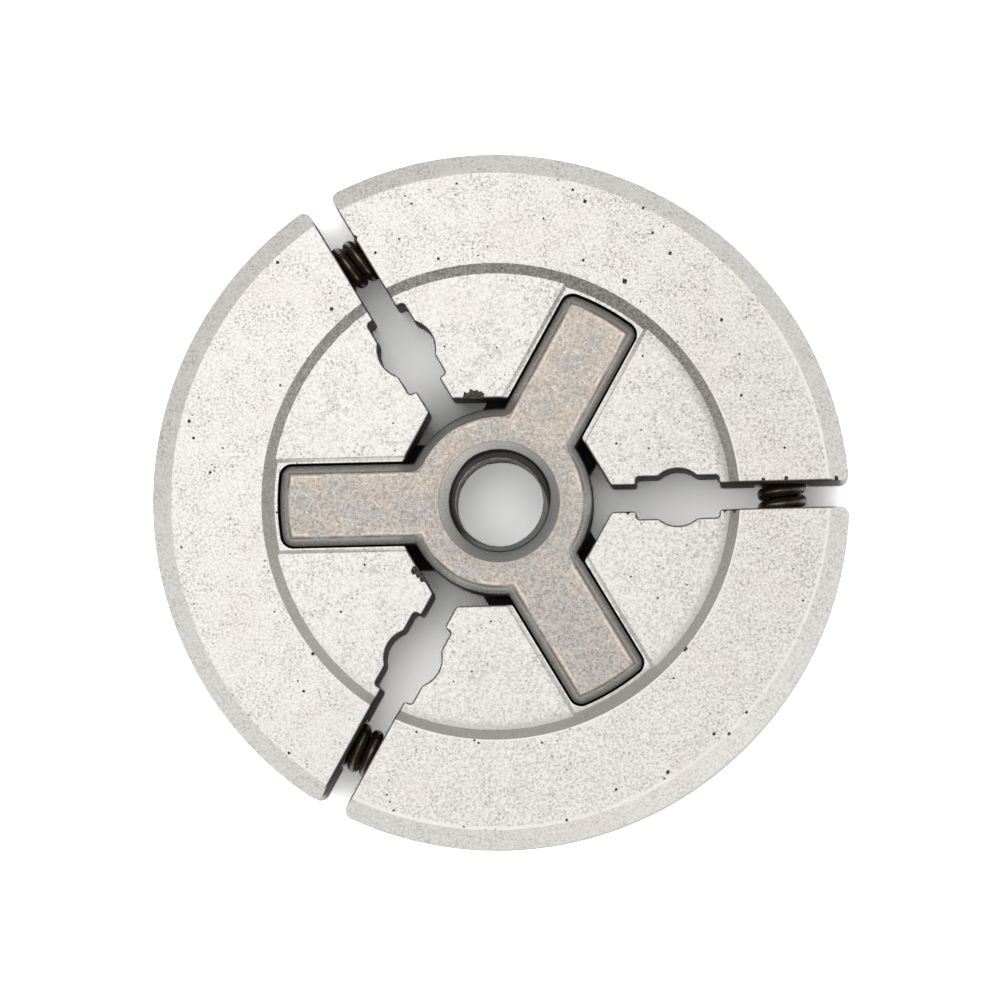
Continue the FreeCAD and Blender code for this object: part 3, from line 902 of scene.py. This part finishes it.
def eased_copy(node, name, material, edge):
    """A copy of a solid with its outer edges eased, which stands for the solid."""
    form = bmesh.new()
    form.from_mesh(frame["nodes"][node].data)
    bmesh.ops.remove_doubles(form, verts=form.verts, dist=MERGE_DISTANCE)
    bmesh.ops.dissolve_limit(form, angle_limit=FLAT_ANGLE, verts=form.verts, edges=form.edges)
    eased = form.edges.layers.float.new("bevel_weight_edge")
    for line in form.edges:
        outer = line.calc_face_angle_signed(0.0) > EDGE_ANGLE
        line[eased] = outer * (1.0 if beside_gap(line) else edge / GAP_EDGE)
    mesh = bpy.data.meshes.new(name)
    form.to_mesh(mesh)
    form.free()
    mesh.materials.append(material)
    piece = new_piece(name, mesh)
    bevel = piece.modifiers.new("eased_edges", "BEVEL")
    bevel.width = GAP_EDGE
    bevel.segments = EDGE_STEPS
    bevel.limit_method = "WEIGHT"
    bevel.use_clamp_overlap = False
    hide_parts(node)
    return piece


def creased(growth, shape):
    """A shape with smooth shading and sharp creases."""
    smooth = growth.node("GeometryNodeSetShadeSmooth", sockets={"Geometry": shape})
    bend = growth.node("GeometryNodeInputMeshEdgeAngle")
    sockets = {"Geometry": smooth, "Selection": bend > CREASE_ANGLE, "Shade Smooth": False}
    return growth.node("GeometryNodeSetShadeSmooth", {"domain": "EDGE"}, sockets)


def finish_faces(piece):
    """Settle the shading of the flat faces and make the piece a plain mesh."""
    weights = piece.modifiers.new("flat_faces", "WEIGHTED_NORMAL")
    weights.keep_sharp = True
    plain_mesh(piece)


def chip_places():
    """Points above the shoes' fronts, each as wide as its chip."""
    mesh = bpy.data.meshes.new("chip_places")
    mesh.from_pydata([(x * MM, y * MM, CHIP_HEIGHT) for x, y, _ in CHIPS], [], [])
    widths = mesh.attributes.new("width", "FLOAT", "POINT")
    for spot, (_, _, width) in zip(widths.data, CHIPS):
        spot.value = width * MM
    return new_piece("chip_places", mesh)


def stone(growth):
    """A lumpy stone, one across, whose form is taken out of a shoe."""
    ball = growth.node("GeometryNodeMeshIcoSphere", sockets={
        "Radius": 0.5,
        "Subdivisions": STONE_SUBDIVISIONS,
    })
    lumps = growth.node("ShaderNodeTexNoise", sockets=STONE_LUMPS, output=1)
    centred = growth.vector_math("SUBTRACT", lumps, (0.5, 0.5, 0.5))
    moved = growth.node("GeometryNodeSetPosition", sockets={"Geometry": ball, "Offset": centred})
    return growth.coat(moved, broken_iron())


def chip_points(growth):
    """Points where the marked chips land on a shoe."""
    sockets = {"Object": growth.inlets["Chips"]}
    marks = growth.node("GeometryNodeObjectInfo", sockets=sockets, output="Geometry")
    marks = growth.node("GeometryNodeMeshToPoints", sockets={"Mesh": marks})
    landing = growth.node("GeometryNodeRaycast", sockets={
        "Target Geometry": growth.inlets["Base"],
        "Ray Direction": (0, 0, -1),
    })
    return growth.node("GeometryNodeSetPosition", sockets={
        "Geometry": marks,
        "Position": growth.outputs(landing)["Hit Position"],
    })


def pit_points(growth):
    """Points scattered over the flat fronts, each as wide as its pit."""
    seed = growth.inlets["Seed"]
    up = growth.split(growth.node("GeometryNodeInputNormal"))[2]
    scatter = growth.node("GeometryNodeDistributePointsOnFaces", sockets={
        "Mesh": growth.inlets["Base"],
        "Selection": up > math.cos(FLAT_ANGLE),
        "Density": growth.inlets["Pits Per Area"],
        "Seed": seed,
    })
    return growth.node("GeometryNodeStoreNamedAttribute", sockets={
        "Geometry": scatter,
        "Name": "width",
        "Value": growth.random(growth.inlets["Smallest"], growth.inlets["Largest"], seed),
    })


def worn_face(metal):
    """Tree that takes chips out at marked places, and pits out of the flat fronts at scattered ones."""
    growth = Growth("worn_face", {
        "Chips": chip_places(),
        "Pits Per Area": PITS_PER_AREA,
        "Smallest": SMALLEST_PIT,
        "Largest": LARGEST_PIT,
        "Seed": 0,
    })
    spots = growth.node("GeometryNodeJoinGeometry", sockets={0: chip_points(growth)})
    growth.fill(spots.socket.node, {0: pit_points(growth)})
    turn = growth.node("FunctionNodeRandomValue", {"data_type": "FLOAT_VECTOR"}, {
        1: (math.tau, math.tau, math.tau),
        "Seed": growth.inlets["Seed"],
    })
    stones = growth.node("GeometryNodeInstanceOnPoints", sockets={
        "Points": spots,
        "Instance": stone(growth),
        "Rotation": turn,
        "Scale": growth.node("GeometryNodeInputNamedAttribute", sockets={"Name": "width"}),
    })
    cut = growth.take_out(growth.inlets["Base"], stones)
    growth.end(creased(growth, cut), metal, growth.made_of(metal))
    return growth


def shoes():
    """The three friction shoes."""
    metal = sintered_iron()
    wear = worn_face(metal)
    for number in range(1, SHOE_COUNT + 1):
        shoe = eased_copy(f"shoe_{number}", f"friction_shoe_{number}", metal, SHOE_EDGE)
        wear.attach(shoe, Seed=number)
        finish_faces(shoe)
        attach(shoe, f"shoe_{number}")
    bpy.data.objects.remove(wear.sizes["Chips"])


def hub(metal):
    """The spider that carries the shoes."""
    growth = Growth("clean_creases", {})
    growth.end(creased(growth, growth.inlets["Base"]), metal)
    piece = eased_copy("spider", "arm_spider", metal, SPIDER_EDGE)
    growth.attach(piece)
    finish_faces(piece)
    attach(piece, "spider")


def half_spring_points():
    """Points along the wire from the end of one eye to the middle of the gap."""
    points = []
    eye_steps = round(STEPS_PER_TURN * EYE_SWEEP / math.tau)
    for step in range(eye_steps):
        angle = EYE_SWEEP * (step / eye_steps - 1)
        x = -EYE_RADIUS * math.sin(angle)
        points.append((x, EYE_RADIUS * math.cos(angle) - EYE_CENTRE, EYE_HEIGHT))
    for step in range(COIL_TURNS * STEPS_PER_TURN // 2 + 1):
        turns = step / STEPS_PER_TURN
        x = -COIL_RADIUS * math.sin(math.tau * turns)
        z = SPRING_HEIGHT - COIL_RADIUS * math.cos(math.tau * turns)
        points.append((x, COIL_PITCH * turns - COIL_HALF, z))
    return points


def wound_wire():
    """Tree for a round wire along a line of points."""
    growth = Growth("wound_wire", {"Wire Radius": WIRE_RADIUS, "Sides": WIRE_SIDES})
    line = growth.node("GeometryNodeMeshToCurve", sockets={"Mesh": growth.inlets["Base"]})
    ring = growth.node("GeometryNodeCurvePrimitiveCircle", sockets={
        "Resolution": growth.inlets["Sides"],
        "Radius": growth.inlets["Wire Radius"],
    })
    sockets = {"Curve": line, "Profile Curve": ring, "Fill Caps": True}
    wire = growth.node("GeometryNodeCurveToMesh", sockets=sockets)
    growth.end(growth.node("GeometryNodeSetShadeSmooth", sockets={"Geometry": wire}), spring_steel())
    return growth


def springs():
    """Three springs, each in two halves that meet at the middle of its gap."""
    wire = wound_wire()
    points = half_spring_points()
    edges = [(index, index + 1) for index in range(len(points) - 1)]
    for number in range(SHOE_COUNT):
        gap = Matrix.Rotation(number * PITCH_ANGLE, 4, "Z") @ Matrix.Translation((SPRING_CENTRE, 0, 0))
        neighbours = (("lower", (number - 1) % SHOE_COUNT), ("upper", number))
        for turn, (side, shoe) in enumerate(neighbours):
            place = gap @ Matrix.Rotation(turn * math.pi, 4, "Z")
            path = bpy.data.meshes.new("wire_path")
            path.from_pydata([place @ Vector(point) for point in points], edges, [])
            half = new_piece(f"spring_{number + 1}_{side}", path)
            wire.attach(half)
            plain_mesh(half)
            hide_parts(f"spring_{number + 1}")
            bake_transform(half)


def thread_ridge(growth):
    """A ridge wound left-handed up the wall of the bore."""
    spiral = growth.node("GeometryNodeCurveSpiral", sockets={
        "Resolution": growth.inlets["Steps"],
        "Rotations": growth.inlets["Turns"],
        "Start Radius": growth.inlets["Bore Radius"],
        "End Radius": growth.inlets["Bore Radius"],
        "Height": growth.inlets["Rise"],
    })
    upright = growth.node("GeometryNodeSetCurveNormal", {"mode": "Z_UP"}, {"Curve": spiral})
    section = growth.node("GeometryNodeCurvePrimitiveQuadrilateral", {"mode": "POINTS"}, {
        "Point 1": (-THREAD_SINK, -THREAD_ROOT_WIDTH / 2, 0),
        "Point 2": (THREAD_DEPTH, -THREAD_CREST_WIDTH / 2, 0),
        "Point 3": (THREAD_DEPTH, THREAD_CREST_WIDTH / 2, 0),
        "Point 4": (-THREAD_SINK, THREAD_ROOT_WIDTH / 2, 0),
    })
    sockets = {"Curve": upright, "Profile Curve": section, "Fill Caps": True}
    return growth.node("GeometryNodeTransform", sockets={
        "Geometry": growth.node("GeometryNodeCurveToMesh", sockets=sockets),
        "Translation": (0, 0, THREAD_BOTTOM),
        "Rotation": (0, 0, THREAD_TURN),
    })


def sink_cone(growth):
    """The room that the countersink takes, down to a point inside the bore."""
    depth = SINK_CLEAR * (SPIDER_TOP - THREAD_TOP) / (SINK_RADIUS - THREAD_RADIUS)
    cone = growth.node("GeometryNodeMeshCone", sockets={
        "Vertices": growth.inlets["Steps"],
        "Radius Top": SINK_CLEAR,
        "Radius Bottom": 0.0,
        "Depth": depth,
    })
    foot = SPIDER_TOP + (SINK_CLEAR - SINK_RADIUS) / SINK_CLEAR * depth - depth
    return growth.node("GeometryNodeTransform", sockets={"Geometry": cone, "Translation": (0, 0, foot)})


def crank_thread(iron):
    """The ridge inside the hub's bore, whose first turn the countersink cuts."""
    turns = THREAD_LENGTH / THREAD_PITCH
    growth = Growth("thread_ridge", {
        "Bore Radius": THREAD_RADIUS,
        "Turns": turns,
        "Rise": turns * THREAD_PITCH,
        "Steps": THREAD_STEPS,
    })
    metal = cut_steel()
    ridge = growth.coat(thread_ridge(growth), metal)
    cut = growth.take_out(ridge, growth.coat(sink_cone(growth), iron))
    growth.end(creased(growth, cut), metal, growth.made_of(metal))
    piece = new_piece("crank_thread", bpy.data.meshes.new("thread_base"))
    growth.attach(piece)
    finish_faces(piece)
    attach(piece, "spider")


def seen_brightness(recipe):
    """How bright the floor is for the camera, with painted light and shade: a little brighter under the part and
    towards the bottom, less bright beside the hub as a painted shadow, and evened inside the bore by painted light
    and shade.
    """
    x, y, _ = recipe.split(recipe.node("ShaderNodeTexCoord", output="Object"))
    radius = (x * x + y * y) ** 0.5
    seen = FLOOR_UNDER + radius.fade(UNDER_RADIUS, AROUND_RADIUS) * (FLOOR_AROUND - FLOOR_UNDER)
    seen = seen + y.fade(0.0, -UNDER_RADIUS) * FLOOR_LOW
    near_hub = radius.fade(HUB_SHADOW_REACH, HUB_FLAT_RADIUS) * radius.fade(THREAD_RADIUS, SINK_RADIUS)
    aside = x.fade(HUB_FLAT_RADIUS / 2, -HUB_FLAT_RADIUS / 2)
    above = y.fade(-HUB_FLAT_RADIUS / 2, HUB_FLAT_RADIUS)
    shadow = HUB_SHADOW_LOW + above * (HUB_SHADOW_HIGH - HUB_SHADOW_LOW)
    seen = seen * (1 - near_hub * aside * shadow)
    inside = radius.fade(SINK_RADIUS, THREAD_RADIUS)
    return seen * (1 + inside * ((y - x).fade(-SINK_RADIUS, SINK_RADIUS) - 0.5) * BORE_EVEN)


def floor():
    """White paper that keeps the shadow and is bright for what looks straight at it."""
    mesh = bpy.data.meshes.new("floor")
    corners = [(x * FLOOR_HALF, y * FLOOR_HALF, 0) for x, y in ((-1, -1), (1, -1), (1, 1), (-1, 1))]
    mesh.from_pydata(corners, [], [range(len(corners))])
    material = bpy.data.materials.new("white_floor")
    material.use_nodes = True
    material.node_tree.nodes.clear()
    recipe = Recipe(material.node_tree)
    rays = recipe.outputs(recipe.node("ShaderNodeLightPath"))
    mirrored = rays["Is Glossy Ray"].higher(rays["Is Transmission Ray"])
    seen = rays["Is Camera Ray"] * (seen_brightness(recipe) - 1)
    gain = 1 + seen + mirrored * (FLOOR_MIRRORED - 1)
    settings = {"operation": "SCALE"}
    white = recipe.node("ShaderNodeVectorMath", settings, {0: FLOOR_COLOUR, "Scale": gain})
    paint = recipe.node("ShaderNodeBsdfDiffuse", sockets={"Color": white})
    recipe.node("ShaderNodeOutputMaterial", sockets={"Surface": paint})
    mesh.materials.append(material)
    new_piece("floor", mesh)


def soft_lamp(name, place, size, glow):
    """A square softbox that faces the clutch; its glow is the brightness of its front."""
    light = bpy.data.lights.new(name, "AREA")
    light.size = size
    light.energy = glow * math.pi * size * size
    lamp = bpy.data.objects.new(name, light)
    away = Vector(place)
    lamp.matrix_world = Matrix.Translation(away) @ away.to_track_quat("Z", "Y").to_matrix().to_4x4()
    bpy.context.scene.collection.objects.link(lamp)


def studio_light():
    """A soft dome, brightest overhead, with a near softbox at the upper left and one at the lower right."""
    world = bpy.data.worlds.new("studio")
    world.use_nodes = True
    bpy.context.scene.world = world
    recipe = Recipe(world.node_tree)
    direction = recipe.node("ShaderNodeTexCoord", output="Generated")
    up = recipe.split(direction)[2]
    side = recipe.vector_math("DOT_PRODUCT", direction, LOW_SKY_DIRECTION, output=1)
    strength = SKY_EDGE + up.fade(0.0, 1.0) * (SKY_TOP - SKY_EDGE)
    strength = strength + side.fade(*LOW_SKY_SIDE) * up.fade(*LOW_SKY_HEIGHT) * LOW_SKY
    recipe.fill(world.node_tree.nodes["Background"], {"Color": SKY_COLOUR, "Strength": strength})
    soft_lamp("key_softbox", KEY_PLACE, KEY_SIZE, KEY_GLOW)
    soft_lamp("side_softbox", SIDE_PLACE, SIDE_SIZE, SIDE_GLOW)


def camera():
    """A long lens that looks down the crankshaft axis, a little from the lower right."""
    lens = bpy.data.cameras.new("camera")
    lens.sensor_width = SENSOR_WIDTH
    lens.lens = SENSOR_WIDTH * VIEW_DISTANCE / VIEW_WIDTH
    right = Vector((math.cos(IMAGE_TURN), -math.sin(IMAGE_TURN), 0))
    up = Vector((math.sin(IMAGE_TURN), math.cos(IMAGE_TURN), 0))
    aside = Vector((math.cos(CAMERA_SIDE), math.sin(CAMERA_SIDE), 0))
    back = aside * math.sin(VIEW_TILT) + Vector((0, 0, math.cos(VIEW_TILT)))
    aim = Vector((0, 0, RIM_TOP)) + right * AIM_RIGHT + up * AIM_UP
    across = up.cross(back).normalized()
    turn = Matrix((across, back.cross(across), back)).transposed().to_4x4()
    eye = bpy.data.objects.new("camera", lens)
    eye.matrix_world = Matrix.Translation(aim + back * VIEW_DISTANCE) @ turn
    bpy.context.scene.collection.objects.link(eye)
    bpy.context.scene.camera = eye


def main():
    """Dress the solids, lay the floor, light them and set the camera."""
    bpy.context.scene.view_settings.view_transform = "Standard"
    shoes()
    iron = tempered_iron()
    hub(iron)
    crank_thread(iron)
    springs()
    floor()
    studio_light()
    camera()


main()
